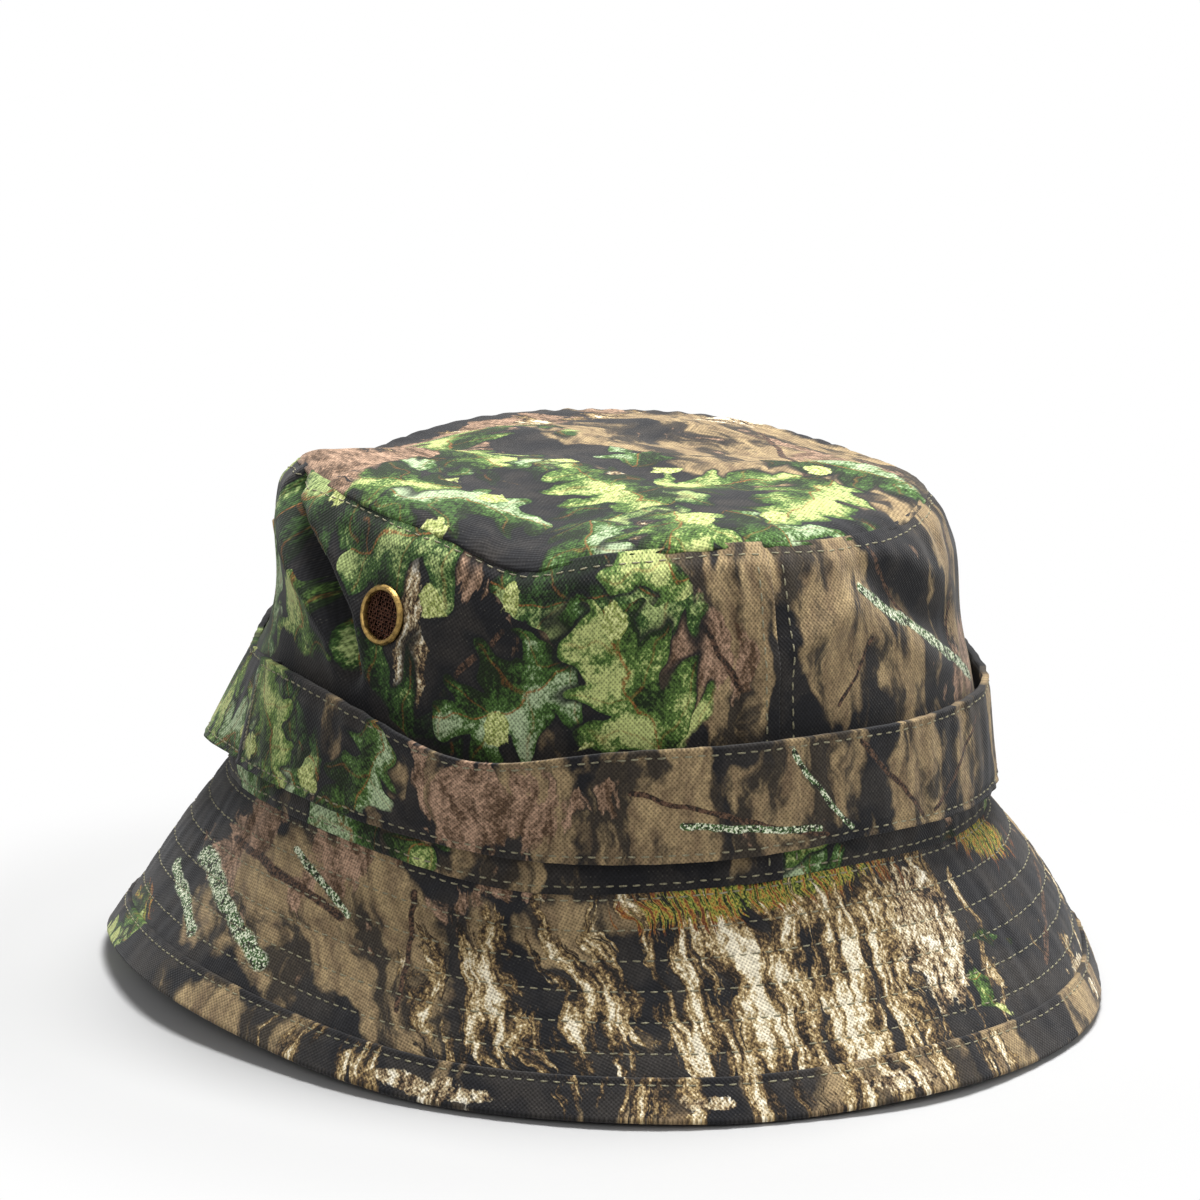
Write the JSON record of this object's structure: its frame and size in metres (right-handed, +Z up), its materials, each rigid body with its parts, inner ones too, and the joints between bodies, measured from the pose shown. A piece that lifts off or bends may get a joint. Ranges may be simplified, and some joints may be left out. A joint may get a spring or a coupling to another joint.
{
  "type": "boonie hat",
  "caption": "Soft cotton field hat with a wide quilted brim, oval crown, screened side vents and a sewn foliage band.",
  "frame": {"origin": "middle of the brim's outline, on the surface that the hat stands on", "axes": "+Z up out of the crown, front seam towards -Y, wearer's left towards +X"},
  "size_m": [0.232, 0.272, 0.1268],
  "materials": {
    "crown_cloth": "matte",
    "brim_cloth": "matte",
    "band_cloth": "matte",
    "interlining": "matte",
    "lining_tape": "matte",
    "label_cloth": "matte",
    "thread": "matte",
    "brass": "satin",
    "brass_mesh": "satin"
  },
  "bodies": {
    "root": {"crown_side_right": "crown_cloth", "crown_side_left": "crown_cloth", "crown_tip": "crown_cloth", "brim_upper": "brim_cloth", "brim_lower": "brim_cloth", "brim_binding": "brim_cloth", "foliage_band_front": "band_cloth", "foliage_band_rear": "band_cloth", "brim_interlining": "interlining", "tip_seam_tape": "lining_tape", "sweatband": "lining_tape", "care_label": "label_cloth", "tip_topstitching": "thread", "lap_seam_stitching": "thread", "crown_base_stitching": "thread", "sweatband_stitching": "thread", "care_label_stitching": "thread", "foliage_band_stitching": "thread", "foliage_band_tacks": "thread", "brim_quilting": "thread", "brim_binding_stitching": "thread", "vent_eyelets": "brass", "vent_washers": "brass", "vent_screens": "brass_mesh"}
  },
  "joints": []
}
